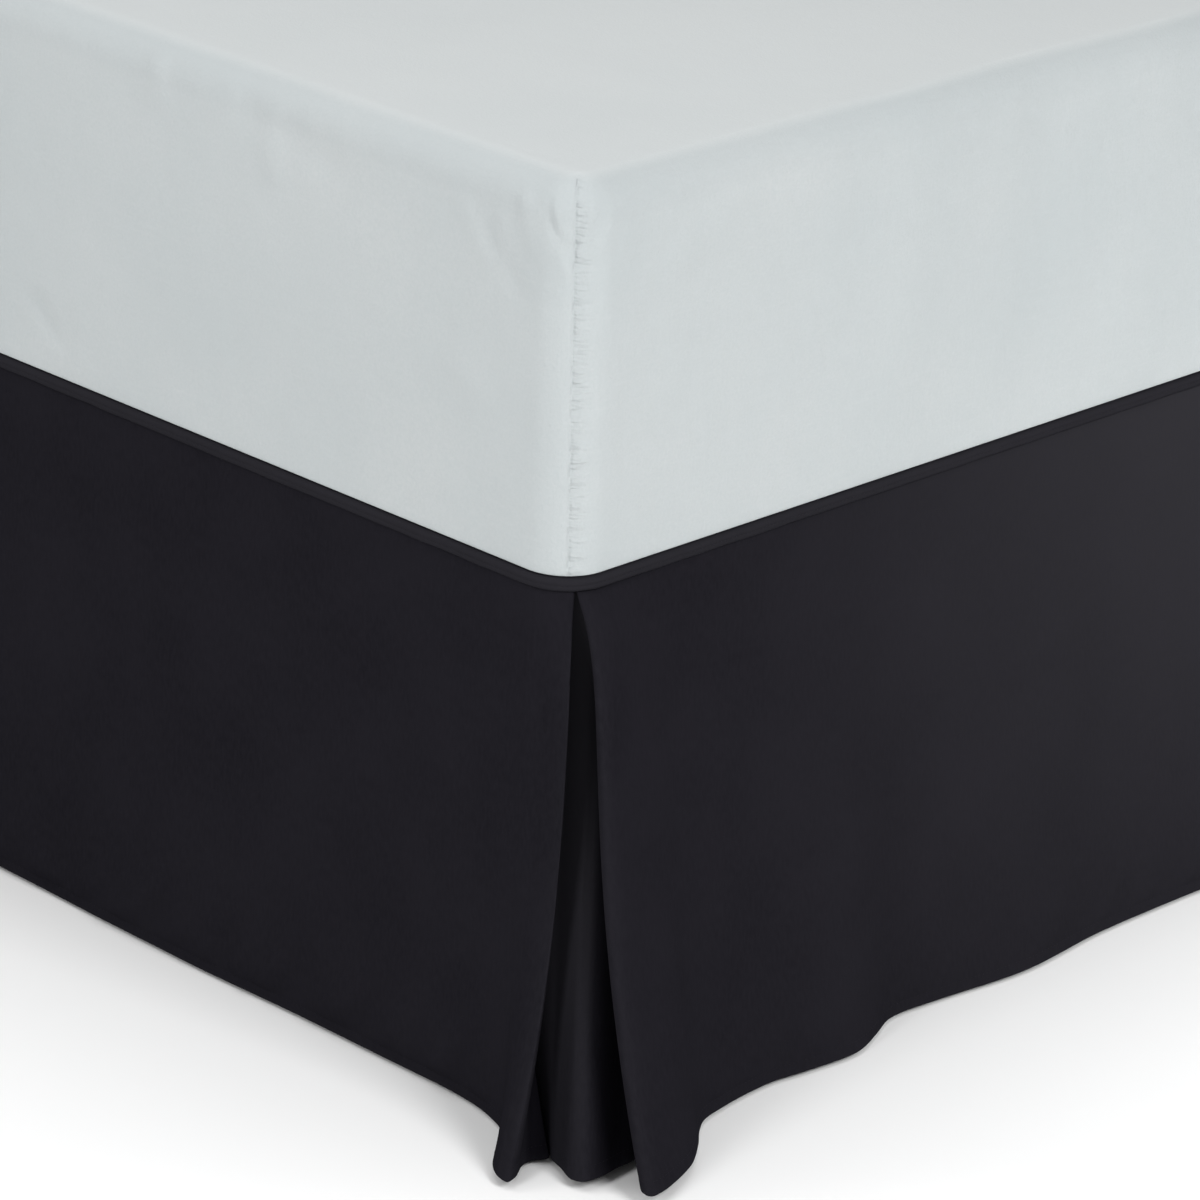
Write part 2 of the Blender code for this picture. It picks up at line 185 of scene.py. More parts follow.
FOOT_LEFT_RELIEF = relief(
    folds=(
        (0.180, 0.060, 0.160, 0.280, 0.055, 0.0007), (0.350, 0.100, 0.380, 0.300, 0.060, -0.0006),
        (0.520, 0.040, 0.500, 0.260, 0.060, 0.0006),
    ),
    puckers=(
        (0.080, 0.0128, 0.012, 0.0040, -0.5), (0.128, 0.0160, 0.017, 0.0062, -0.6),
        (0.190, 0.0104, 0.011, 0.0033, -0.3), (0.236, 0.0152, 0.016, 0.0057, -0.7),
        (0.300, 0.0112, 0.012, 0.0036, -0.4), (0.372, 0.0176, 0.019, 0.0062, -0.8),
        (0.455, 0.0120, 0.012, 0.0036, -0.3), (0.520, 0.0160, 0.016, 0.0053, -0.6),
        (0.610, 0.0128, 0.013, 0.0040, -0.5), (0.690, 0.0160, 0.016, 0.0048, -0.6),
    ),
)

SIDE_RIGHT_RELIEF = relief(
    folds=(
        (0.150, 0.030, 0.140, 0.330, 0.034, -0.0016), (0.262, 0.140, 0.280, 0.330, 0.028, 0.0013),
        (0.350, 0.090, 0.365, 0.270, 0.050, 0.0011), (0.466, 0.020, 0.486, 0.240, 0.030, 0.0022),
        (0.524, 0.040, 0.511, 0.230, 0.007, -0.0007), (0.575, 0.020, 0.560, 0.290, 0.036, 0.0014),
        (0.680, 0.030, 0.700, 0.300, 0.034, -0.0014), (0.840, 0.020, 0.820, 0.290, 0.036, 0.0020),
        (1.000, 0.060, 1.030, 0.330, 0.034, 0.0016), (1.180, 0.020, 1.170, 0.300, 0.034, -0.0016),
        (1.350, 0.040, 1.380, 0.280, 0.034, 0.0020), (1.560, 0.020, 1.550, 0.300, 0.036, 0.0016),
        (1.760, 0.040, 1.790, 0.320, 0.032, -0.0014), (1.920, 0.060, 1.930, 0.330, 0.028, 0.0013),
    ),
    puckers=(
        (0.124, 0.010, 0.010, 0.0016, 0.4), (0.152, 0.010, 0.010, 0.0014, 0.4), (0.215, 0.014, 0.012, 0.0012, 0.4),
        (0.336, 0.014, 0.011, 0.0012, 0.4), (0.455, 0.016, 0.014, 0.0016, 0.5), (0.520, 0.014, 0.012, 0.0018, 0.5),
        (0.562, 0.012, 0.012, 0.0016, 0.4), (0.610, 0.014, 0.013, 0.0020, 0.4), (0.730, 0.016, 0.014, 0.0018, 0.5),
        (0.860, 0.014, 0.011, 0.0014, 0.4), (0.990, 0.018, 0.015, 0.0022, 0.5), (1.150, 0.014, 0.012, 0.0016, 0.4),
        (1.310, 0.017, 0.014, 0.0020, 0.5), (1.500, 0.014, 0.012, 0.0016, 0.4), (1.690, 0.018, 0.015, 0.0020, 0.5),
        (1.880, 0.014, 0.012, 0.0016, 0.4),
    ),
)

SIDE_LEFT_RELIEF = relief(
    folds=(
        (0.130, 0.010, 0.150, 0.320, 0.024, -0.0018), (0.240, 0.030, 0.225, 0.300, 0.028, 0.0018),
        (0.380, 0.060, 0.400, 0.280, 0.036, 0.0016), (0.520, 0.020, 0.500, 0.290, 0.026, -0.0020),
        (0.660, 0.030, 0.690, 0.300, 0.028, 0.0025), (0.810, 0.020, 0.800, 0.300, 0.030, -0.0018),
        (0.960, 0.040, 0.940, 0.320, 0.030, 0.0023), (1.150, 0.020, 1.170, 0.280, 0.028, 0.0018),
        (1.330, 0.060, 1.310, 0.310, 0.032, -0.0020), (1.520, 0.020, 1.540, 0.300, 0.030, 0.0023),
        (1.720, 0.030, 1.700, 0.290, 0.030, -0.0016), (1.890, 0.050, 1.900, 0.330, 0.026, 0.0018),
    ),
    puckers=SIDE_RIGHT_RELIEF.puckers[3:],
)

INSERT_RELIEF = relief(
    folds=(), puckers=((0.000, 0.012, 0.012, 0.0010, 0.3), (0.045, 0.012, 0.012, 0.0010, -0.3)),
)
FOLD_RUNS_PAST, FOLD_FADES_OVER = 0.35, 0.5

# How many of its own widths away a ridge or pucker has faded out.
FADED_OUT = 2.6


def smooth(share):
    """Eases a share from 0 to 1."""
    share = min(1.0, max(0.0, share))
    return share * share * (3 - 2 * share)


def ridge_height(ridges, along, across, past, fade):
    """How far the cloth stands out at a place, from its ridges.

    A ridge runs on past both of its ends, by a share of its length, and fades out over another share.
    """
    height = 0.0
    for ridge in ridges:
        run = Vector((ridge.to_along - ridge.along, ridge.to_across - ridge.across))
        reach = Vector((along - ridge.along, across - ridge.across))
        share = reach.dot(run) / run.length_squared
        aside = abs(reach.x * run.y - reach.y * run.x) / run.length / ridge.width
        if -past < share < 1 + past and aside < FADED_OUT:
            ends = smooth((share + past) / fade) * smooth((1 + past - share) / fade)
            height += ridge.stands * exp(-aside * aside) * ends
    return height


def pucker_height(puckers, along, above):
    """How far the cloth stands out over the hem's stitching, which draws it in."""
    if above <= 0:
        return 0.0
    height = 0.0
    for pucker in puckers:
        aside = (along - pucker.along - pucker.lean * above) / pucker.width
        if abs(aside) < FADED_OUT:
            rise = above / pucker.high
            height += pucker.stands * exp(-aside * aside) * rise * exp(1 - rise)
    return height


def edge_point(along, depth):
    """A point on the bed's edge at a foot corner, in that corner's frame.

    along runs round the corner from its middle, negative to the foot and positive to the side, and depth
    goes in from the outer face of the skirt.
    """
    if abs(along) <= CORNER_BEND:
        turn = along / CORNER_RADIUS - pi / 4
        reach = CORNER_RADIUS - depth
        return Vector((reach * cos(turn) - CORNER_RADIUS, reach * sin(turn) + CORNER_RADIUS))
    if along < 0:
        return Vector((along + CORNER_BEND - CORNER_RADIUS, depth))
    return Vector((-depth, along - CORNER_BEND + CORNER_RADIUS))


def panel_seam(cloth, facing):
    """Where a panel's cloth lies at the seam: it runs to the pleat, turns under and goes back.

    facing is 1 for the foot panel and -1 for a side panel.
    """
    if cloth < -HALF_TURN:
        along, depth = -FOLD_AT + cloth + HALF_TURN, FACE_LAYER
    elif cloth > HALF_TURN:
        along, depth = -FOLD_AT - cloth + HALF_TURN, RETURN_LAYER
    else:
        turn = pi / 2 + cloth / TURN_RADIUS
        along = -FOLD_AT + TURN_RADIUS * sin(turn)
        depth = FACE_LAYER + TURN_RADIUS * (1 - cos(turn))
    return edge_point(PLEAT_SHIFT + facing * along, depth)


def insert_seam(cloth, _facing):
    return edge_point(PLEAT_SHIFT + cloth, INSERT_LAYER)


LEAST_KNOT = 1e-4


def between(points, span, share):
    """A point on the smooth curve through a list of vectors, in the given span."""
    here, there = points[span], points[span + 1]
    before = points[span - 1] if span else here + (here - there)
    after = points[span + 2] if span + 2 < len(points) else there + (there - here)
    knots = [0.0]
    for first, second in ((before, here), (here, there), (there, after)):
        knots.append(knots[-1] + max(sqrt((second - first).length), LEAST_KNOT))
    at = knots[1] + share * (knots[2] - knots[1])

    def mix(first, second, low, high):
        return first + (second - first) * ((at - low) / (high - low))

    near = mix(before, here, knots[0], knots[1])
    middle = mix(here, there, knots[1], knots[2])
    far = mix(there, after, knots[2], knots[3])
    return mix(mix(near, middle, knots[0], knots[2]), mix(middle, far, knots[1], knots[3]), knots[1], knots[2])


# One upright line of the drop: where it leaves the seam, where it ends at the hem, how it flares, how far it
# is from the pleat's fold, how far from the bed's corner, and the relief of its panel. At the bed's round
# corner, "straightens" takes the foot's panel forward again below the seam.
Column = namedtuple("Column", "seam hem spring power cloth along relief straightens")


def columns_of(bends, seam_of, facing, openness, relief):
    """The upright lines of a panel, a few millimetres apart."""
    hems = [Vector((bend.out_x, bend.out_y)) for bend in bends]
    made = []
    for span in range(len(bends) - 1):
        first, second = bends[span], bends[span + 1]
        width = max(abs(second.cloth - first.cloth), (hems[span + 1] - hems[span]).length * openness)
        steps = max(LEAST_STEPS, round(width / COLUMN_STEP))
        for step in range(steps + (span == len(bends) - 2)):
            share = step / steps
            cloth = first.cloth + (second.cloth - first.cloth) * share
            seam = seam_of(cloth, facing)
            hem = seam + (between(hems, span, share) - seam) * openness
            spring = first.spring + (second.spring - first.spring) * share
            power = first.power + (second.power - first.power) * share
            along = PLEAT_SHIFT + SEAM_START - cloth if facing < 0 else -cloth
            forward = max(0.0, seam.y - RETURN_LAYER) if facing > 0 and seam_of is panel_seam else 0.0
            made.append(Column(seam, hem, spring, power, cloth, along, relief, Vector((forward, -forward))))
    return made


def world(point, side):
    """A point of a corner's frame where it stands. side is 1 for the right corner and -1 for the left."""
    return Vector((BED_MIDDLE.x + side * (BED_WIDTH / 2 + point.x), BED_MIDDLE.y + point.y - BED_LENGTH / 2))


def placed(columns, side):
    return [
        column._replace(
            seam=world(column.seam, side), hem=world(column.hem, side),
            straightens=Vector((side * column.straightens.x, column.straightens.y)),
        )
        for column in columns
    ]


def drop_lines():
    """The depths of the lines of points below the seam, close together at the seam and at the hem."""
    top, foot = LINES_BELOW_SEAM[-1], DROP - LINES_ABOVE_HEM[0]
    middle = [top + (foot - top) * step / MIDDLE_LINES for step in range(1, MIDDLE_LINES)]
    return list(LINES_BELOW_SEAM) + middle + [DROP - above for above in LINES_ABOVE_HEM]


# The cloth's own unevenness: long soft waves, smaller ones in them, and fine ones in those. How close the
# waves lie along the cloth and down it, where they start, and how far they stand out.
Wave = namedtuple("Wave", "along down start stands")
SLACK_WAVES = (Wave(3.1, 2.2, 4.0, 0.0015), Wave(17.0, 9.0, 9.0, 0.00035), Wave(60.0, 34.0, 0.0, 0.00010))


def slack(place, down):
    """How far the cloth stands out from its own unevenness."""
    height = 0.0
    for wave in SLACK_WAVES:
        at = Vector((place.x * wave.along, place.y * wave.along, down * wave.down + wave.start))
        height += wave.stands * noise.noise(at)
    return height


# A drop's relief grows in below the seam and keeps quiet beside the pleat, where its layers have only so much
# room at the seam and at the hem. The hem's band stands out, and its stitching draws the cloth in. So does
# the seam, with its allowance standing out below it.
GROWS_IN_OVER = 0.030
QUIET_BESIDE_PLEAT, QUIET_SHARE = 0.060, 0.15
LAYERED_WITHIN, SEAM_ROOM, HEM_ROOM = 0.11, 0.0003, 0.0020
BAND_STANDS, BAND_EASES_OVER, STITCHED_FROM = 0.00008, 0.0020, 0.0002
STITCHING_DRAWS_IN, STITCHING_WIDTH = 0.00005, 0.0016
SEAM_DRAWS_IN, SEAM_WIDTH = 0.00035, 0.0016
ALLOWANCE_STANDS, ALLOWANCE_STARTS, ALLOWANCE_FADES = 0.00050, 0.006, 0.016


def stands_out(column, place, down):
    """How far the cloth stands out from its smooth fall at a place on a column."""
    above = DROP - down - HEM_BAND
    height = slack(place, down)
    height += ridge_height(column.relief.folds, column.along, down, FOLD_RUNS_PAST, FOLD_FADES_OVER)
    height += pucker_height(column.relief.puckers, column.along, above)
    height *= smooth(down / GROWS_IN_OVER)
    if column.cloth > -QUIET_BESIDE_PLEAT:
        height *= QUIET_SHARE + (1 - QUIET_SHARE) * smooth(-column.cloth / QUIET_BESIDE_PLEAT)
    if abs(column.cloth) < LAYERED_WITHIN:
        height = max(height, -SEAM_ROOM - HEM_ROOM * down / DROP)
    height += BAND_STANDS * smooth((-above - STITCHED_FROM) / BAND_EASES_OVER)
    height -= STITCHING_DRAWS_IN * exp(-(((above - STITCHED_FROM) / STITCHING_WIDTH) ** 2))
    height -= SEAM_DRAWS_IN * exp(-((down / SEAM_WIDTH) ** 2))
    height += ALLOWANCE_STANDS * smooth(down / ALLOWANCE_STARTS) * exp(-down / ALLOWANCE_FADES)
    return height


def faced_out(shape):
    """Turns an open sheet so that its faces look away from the middle of the bed."""
    shape.normal_update()
    looks_out = sum(
        face.calc_area() * face.normal.xy.dot(face.calc_center_median().xy - BED_MIDDLE) for face in shape.faces
    )
    if looks_out < 0:
        bmesh.ops.reverse_faces(shape, faces=shape.faces)
    shape.normal_update()


# The steps by which the hem's allowance turns up: how far in behind the cloth, and how far up it.
HEM_TURN = ((0.0004, -0.0004), (0.0007, 0.0005), (0.0002, 0.0030), (0.0000, 0.0035))


def turned_up(shape, climbs, layers):
    """The hem's allowance: the cloth folds inwards at the hem and runs back up behind it.

    climbs is the way up the cloth from each point of the hem.
    """
    edges = [edge for edge in shape.edges if all(point in climbs for point in edge.verts)]
    ways = {point: (-point.normal, climb) for point, climb in climbs.items()}
    for step_in, step_up in HEM_TURN:
        grown = bmesh.ops.extrude_edge_only(shape, edges=edges)["geom"]
        fresh = {}
        for point in grown:
            if isinstance(point, bmesh.types.BMVert):
                below = next(edge.other_vert(point) for edge in point.link_edges if edge.other_vert(point) in ways)
                inwards, climb = ways[below]
                point.co += inwards * step_in + climb * step_up
                point[layers["down"]] += step_up
                fresh[point] = ways[below]
        edges = [
            edge for edge in grown
            if isinstance(edge, bmesh.types.BMEdge) and all(point in fresh for point in edge.verts)
        ]
        ways = fresh


SHARP_ANGLE = 0.7


def finished(name, shape, look, smooth_angle=SHARP_ANGLE):
    """The bmesh as a named piece with its material, riding on the bed."""
    mesh = bpy.data.meshes.new(name)
    shape.to_mesh(mesh)
    shape.free()
    mesh.materials.append(look)
    mesh.shade_smooth()
    mesh.set_sharp_from_angle(angle=smooth_angle)
    piece = bpy.data.objects.new(name, mesh)
    bpy.context.scene.collection.objects.link(piece)
    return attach(piece, "root")


def thickened(piece, thickness):
    """The piece's sheet as a closed one, half of its thickness to each side."""
    solid = piece.modifiers.new("Thickness", "SOLIDIFY")
    solid.thickness = thickness
    solid.offset = 0.0
    return piece


def mapped(shape, layers):
    """Lays the cloth out flat in its UV map, in metres."""
    flat = shape.loops.layers.uv.new("cloth")
    for face in shape.faces:
        for corner in face.loops:
            corner[flat].uv = (corner.vert[layers["along"]], -corner.vert[layers["down"]])


def cloth_grid(columns, lines):
    """A flat grid of points, and its layers: the way along and down the cloth, where it is rubbed, and the painted
    light and shade in the layer named nap.

    That layer is 0 where nothing is painted, up to 1 where the cloth is painted paler as a painted highlight, and
    down to -1 where it is painted darker as painted shade.
    """
    shape = bmesh.new()
    bmesh.ops.create_grid(shape, x_segments=columns - 1, y_segments=lines - 1, size=1.0)
    layers = {word: shape.verts.layers.float.new(word) for word in ("along", "down", "rubbed", "nap")}
    return shape, layers, list(shape.verts)


def walked(places, least=0.0):
    """How far it is to each place along a line of them."""
    run = [0.0]
    for first, second in zip(places, places[1:]):
        run.append(run[-1] + max(least, (second - first).length))
    return run


# Where the painted light and painted shade of the nap layer start, along the cloth, and over how much of it.
SIDE_SHEEN_FROM, SIDE_SHEEN_OVER = 0.02, 0.75
LINING_LIT_TO, LINING_SHADED_FROM, LINING_EASES_OVER = 0.036, 0.030, 0.014
RETURN_SHADED_FROM, RETURN_EASES_OVER = 0.014, 0.010
LOST_BY_THE_HEM = 0.75
LINING_PAINTED_LIGHT, LINING_PAINTED_SHADE, RETURN_PAINTED_SHADE = 0.85, 0.6, 0.75


def side_painted_sheen(column, share):
    """A side is painted paler, a painted sheen, the further it is from the pleat and the most at the top."""
    return smooth((column.along - SIDE_SHEEN_FROM) / SIDE_SHEEN_OVER) * (1 - LOST_BY_THE_HEM * share)


def lining_painted_light_and_shade(column, share):
    """The insert is painted paler where it faces out and the most at the top, as painted light, and darker further in
    the pleat, as painted shade.
    """
    faces_out = smooth((LINING_LIT_TO - column.cloth) / LINING_EASES_OVER)
    further_in = smooth((column.cloth - LINING_SHADED_FROM) / LINING_EASES_OVER)
    return (LINING_PAINTED_LIGHT - LOST_BY_THE_HEM * share) * faces_out - LINING_PAINTED_SHADE * further_in


def return_painted_shade(column, _share):
    """The foot's return is painted darker inside the pleat, as painted shade."""
    return -RETURN_PAINTED_SHADE * smooth((column.cloth - RETURN_SHADED_FROM) / RETURN_EASES_OVER)


# Between these shares of the drop the foot's panel hangs straight below the bed's round corner. No two
# columns lie closer than the least run on the flat cloth.
STRAIGHT_FROM, STRAIGHT_TO = 0.22, 0.35
LEAST_RUN = 0.0004

# Where the cloth is rubbed: on the pleat's lip, fully from this share of the drop down, and on the hem's edge.
LIP_WIDTH, LIP_FROM = 0.006, 0.2
HEM_RUBBED, HEM_RUBBED_OVER = 0.4, 0.004


def hung_cloth(name, columns, look, nap):
    """A panel of the drop, and the line of its hem stitching.

    nap is a function of a column and a share of the drop: the painted light there, which is painted shade where it is
    below 0.
    """
    lines, count = drop_lines(), len(columns)
    shape, layers, points = cloth_grid(count, len(lines))
    run = walked([column.seam for column in columns], LEAST_RUN)
    for index, point in enumerate(points):
        down, column = lines[index // count], columns[index % count]
        share = down / DROP
        opened = column.spring * (1 - exp(-share / SPRING_LENGTH))
        flare = opened + (1 - column.spring) * share**column.power
        travel = (column.hem - column.seam).length
        rise = HEM_RISE_SHARE * (DROP - sqrt(DROP**2 - travel**2))
        straight = smooth(share / STRAIGHT_FROM) * (1 - smooth((share - STRAIGHT_TO) / (1 - STRAIGHT_TO)))
        across = column.seam + (column.hem - column.seam) * flare + column.straightens * straight
        point.co = (*across, SEAM_Z - (DROP - rise) * share)
        point[layers["along"]] = run[index % count]
        point[layers["down"]] = down
        lip = exp(-((column.cloth / LIP_WIDTH) ** 2)) * smooth(share / LIP_FROM)
        edge = HEM_RUBBED * smooth((down - DROP + HEM_RUBBED_OVER) / HEM_RUBBED_OVER)
        point[layers["rubbed"]] = max(lip, edge)
        # The nap layer holds painted light and shade, not how the nap lies.
        point[layers["nap"]] = nap(column, share)
    faced_out(shape)
    normals = [point.normal.copy() for point in points]
    for index, point in enumerate(points):
        point.co += normals[index] * stands_out(columns[index % count], point.co, lines[index // count])
    shape.normal_update()
    stitch_line = lines.index(DROP - HEM_BAND) * count
    band, hem = points[stitch_line:stitch_line + count], points[-count:]
    stitching = [(point.co.copy(), point.normal.copy()) for point in band]
    turned_up(shape, {low: (high.co - low.co).normalized() for low, high in zip(hem, band)}, layers)
    mapped(shape, layers)
    piece = thickened(finished(name, shape, look), CLOTH)
    return piece, stitching


def foot_drop(look):
    """The foot's drop, from one corner pleat to the other."""
    middle = Vector((BED_MIDDLE.x, BED_MIDDLE.y + FACE_LAYER - BED_LENGTH / 2))
    right = placed(columns_of(FOOT_BENDS, panel_seam, 1, OPENNESS[1], FOOT_RIGHT_RELIEF), 1)
    left = placed(columns_of(FOOT_BENDS, panel_seam, 1, OPENNESS[-1], FOOT_LEFT_RELIEF), -1)

    def across(first, second, steps):
        """Columns from one to the next, without either."""
        made = []
        for share in (step / steps for step in range(1, steps)):
            seam = first.seam.lerp(second.seam, share)
            made.append((first if share < 0.5 else second)._replace(
                seam=seam, hem=first.hem.lerp(second.hem, share), cloth=FAR_FROM_PLEAT,
                along=BED_WIDTH / 2 - abs(seam.x - BED_MIDDLE.x),
            ))
        return made

    hangs_in = Vector((0.0, FOOT_HANGS_IN))
    centre = right[0]._replace(seam=middle, hem=middle + hangs_in, cloth=FAR_FROM_PLEAT, along=BED_WIDTH / 2)
    steps = round((right[0].seam - middle).length / COLUMN_STEP)
    columns = left[::-1] + across(left[0], centre, steps) + [centre] + across(centre, right[0], steps) + right
    piece, stitching = hung_cloth("foot_drop", columns, look, return_painted_shade)
    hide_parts("foot_panel")
    return stitching


def side_drop(word, side, look):
    """A side's drop: the pleat's fold, then the crests and hollows of its hem, on to the head."""
    relief = SIDE_RIGHT_RELIEF if side > 0 else SIDE_LEFT_RELIEF
    corner = columns_of(SIDE_BENDS, panel_seam, -1, OPENNESS[side], relief)
    swells = [SIDE_BENDS[-1]]
    for swell in SIDE_SWELLS:
        out = swell.right if side > 0 else swell.left
        pull = PLEAT_PULL * exp(-(swell.along - SIDE_SWELLS[0].along) / PULL_LENGTH)
        cloth = PLEAT_SHIFT + SEAM_START - swell.along - pull
        swells.append(Bend(cloth, out / OPENNESS[side], swell.along, 0.0, SWELL_POWER))
    swells.append(Bend(PLEAT_SHIFT + SEAM_START - BED_LENGTH, HEAD_HEM_OUT, BED_LENGTH, 0.0, SWELL_POWER))
    along = columns_of(swells, panel_seam, -1, OPENNESS[side], relief)
    piece, stitching = hung_cloth(f"side_drop_{word}", placed(corner + along[1:], side), look, side_painted_sheen)
    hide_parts(f"side_panel_{word}")
    return stitching


def pleat_lining(word, side, look):
    """The insert behind a corner pleat."""
    columns = placed(columns_of(INSERT_BENDS, insert_seam, 1, OPENNESS[side], INSERT_RELIEF), side)
    piece, stitching = hung_cloth(f"pleat_underlay_{word}", columns, look, lining_painted_light_and_shade)
    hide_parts(f"pleat_insert_{word}")
    return stitching


# The platform sheet's rim, from its seam up over the bed's edge and in under the mattress. The seam's
# allowance is pressed up inside it, so it is a thick, soft roll with a row of stitches along its middle. A row
# for each line of points: how deep it lies in from the bed's outline, and how far below the sheet's top.
PLATFORM_CLOTH = 0.0010
RIM_STEP = 0.0055
RimLine = namedtuple("RimLine", "depth below")

RIM_LINES = [RimLine(*row) for row in (
    (-0.0004, 0.0092), (-0.0011, 0.0085), (-0.0015, 0.0076), (-0.0017, 0.0067), (-0.0016, 0.0059),
    (-0.0015, 0.0054), (-0.0017, 0.0049), (-0.0019, 0.0042), (-0.0019, 0.0034), (-0.0015, 0.0026),
    (-0.0010, 0.0020), (0.0000, 0.0016), (0.0015, 0.0013), (0.0038, 0.0010), (0.0075, 0.0008), (0.0120, 0.0006),
    (0.0280, 0.0005),
)]
RIM_STITCHES = (1, 5)
# The rim's roll is painted paler all along, a painted highlight where the mattress's edge shades it.
RIM_PAINTED_LIGHT = 0.45
RIM_CORNER_STEPS = 12

# The roll's ripples: how far they stand out, how close they lie along and up it, and how close and how much
# they vary. They end where the roll does.
RIM_RIPPLE, RIPPLES_ALONG, RIPPLES_UP, VARIES_ALONG, VARIES = 0.00035, 46, 90, 9, 1.2
ROLL_ENDS_AT, ROLL_ENDS_OVER = -0.0005, 0.002


def platform_sheet(look):
    """The sheet on the base: flat on top, turned down over the base's edge on three sides."""
    head = BED_LENGTH + CORNER_BEND - CORNER_RADIUS
    foot = (BED_WIDTH / 2 - CORNER_RADIUS) + CORNER_BEND
    side_steps, foot_steps = (round((end - CORNER_BEND) / RIM_STEP) for end in (head, foot))
    half = [head + (CORNER_BEND - head) * step / side_steps for step in range(side_steps)]
    half += [CORNER_BEND * (1 - 2 * step / RIM_CORNER_STEPS) for step in range(RIM_CORNER_STEPS)]
    half += [-CORNER_BEND + (CORNER_BEND - foot) * step / foot_steps for step in range(foot_steps + 1)]
    path = [(-1, along) for along in half] + [(1, along) for along in half[-2::-1]]

    shape, layers, points = cloth_grid(len(path), len(RIM_LINES))
    run = walked([world(edge_point(along, 0.0), side) for side, along in path])
    climb = [0.0]
    for first, second in zip(RIM_LINES, RIM_LINES[1:]):
        climb.append(climb[-1] + hypot(second.depth - first.depth, second.below - first.below))
    for index, point in enumerate(points):
        (side, along), level = path[index % len(path)], index // len(path)
        line = RIM_LINES[level]
        point.co = (*world(edge_point(along, line.depth), side), PLATFORM_TOP - line.below)
        point[layers["along"]] = run[index % len(path)]
        point[layers["down"]] = -climb[level]
        # Painted highlight on the rim's roll.
        point[layers["nap"]] = RIM_PAINTED_LIGHT
    faced_out(shape)
    normals = [point.normal.copy() for point in points]
    for index, point in enumerate(points):
        roll = 1 - smooth((RIM_LINES[index // len(path)].depth - ROLL_ENDS_AT) / ROLL_ENDS_OVER)
        x, y, z = point.co
        ripple = noise.noise(Vector((x * RIPPLES_ALONG, y * RIPPLES_ALONG, z * RIPPLES_UP)))
        wave = noise.noise(Vector((x * VARIES_ALONG, y * VARIES_ALONG, 3.0)))
        point.co += normals[index] * (RIM_RIPPLE * ripple * (1.0 + VARIES * wave) * roll)
    shape.faces.new(points[-len(path):])
    shape.normal_update()
    faced_up = [face for face in shape.faces if len(face.verts) > 4]
    if faced_up[0].normal.z < 0:
        bmesh.ops.reverse_faces(shape, faces=faced_up)
    stitch_lines = []
    for level in RIM_STITCHES:
        row = points[level * len(path):(level + 1) * len(path)]
        stitch_lines.append([(point.co.copy(), point.normal.copy()) for point in row])
    mapped(shape, layers)
    piece = thickened(finished("platform_sheet", shape, look), PLATFORM_CLOTH)
    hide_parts("platform")
    return stitch_lines


STITCH_PITCH, STITCH_LENGTH, STITCH_LIFT = 0.0034, 0.0022, 0.00050
THREAD = 0.00028


def stitch_places(lines):
    """Where each stitch of some rows lies. A row is a line of places, and the way the cloth faces there."""
    places = []
    for line in lines:
        passed, due = 0.0, STITCH_PITCH / 2
        for (here, faces), (there, _) in zip(line, line[1:]):
            step = there - here
            while passed + step.length > due:
                run = step.normalized()
                up = (faces - run * faces.dot(run)).normalized()
                turn = Matrix((run, up.cross(run), up)).transposed().to_4x4()
                place = here + step * ((due - passed) / step.length) + faces * STITCH_LIFT
                places.append(Matrix.Translation(place) @ turn)
                due += STITCH_PITCH
            passed += step.length
    return places


def stitches(name, lines, look):
    """Rows of short stitches: one small bead of thread, copied along each row."""
    places = stitch_places(lines)
    shape = bmesh.new()
    size = Matrix.Diagonal((STITCH_LENGTH / 2, THREAD / 2, THREAD / 2, 1.0))
    bmesh.ops.create_icosphere(shape, subdivisions=1, radius=1.0, matrix=size)
    bead = len(shape.verts)
    while len(shape.verts) < bead * len(places):
        bmesh.ops.duplicate(shape, geom=shape.verts[:] + shape.edges[:] + shape.faces[:])
    points = list(shape.verts)
    bmesh.ops.delete(shape, geom=points[bead * len(places):], context="VERTS")
    for index, point in enumerate(points[:bead * len(places)]):
        point.co = places[index // bead] @ point.co
    return finished(name, shape, look, 3.0)


# The mattress in its fitted sheet.
MATTRESS_TOP_EDGE = 0.024
MATTRESS_FOOT_EDGE = 0.0016
MATTRESS_CROWN = 0.0035
MATTRESS_STEPS = (0.0090, 0.0145, 0.0042)
MATTRESS_CORNER_CELLS = 14
FINE_BY_CORNER, FINE_BY_CORNER_CELLS = 0.080, 14
TOP_EDGE_CELLS, FOOT_EDGE_CELLS = 8, 3

# The lip that the mattress presses into the platform sheet: how deep it goes, how wide it is and how it eases
# off, and how far up the wall it starts.
LIP_DROP, LIP_DEPTH, LIP_EASES_OVER = 0.0005, 0.0045, 0.003
LIP_STARTS, LIP_STARTS_OVER = 0.020, 0.018

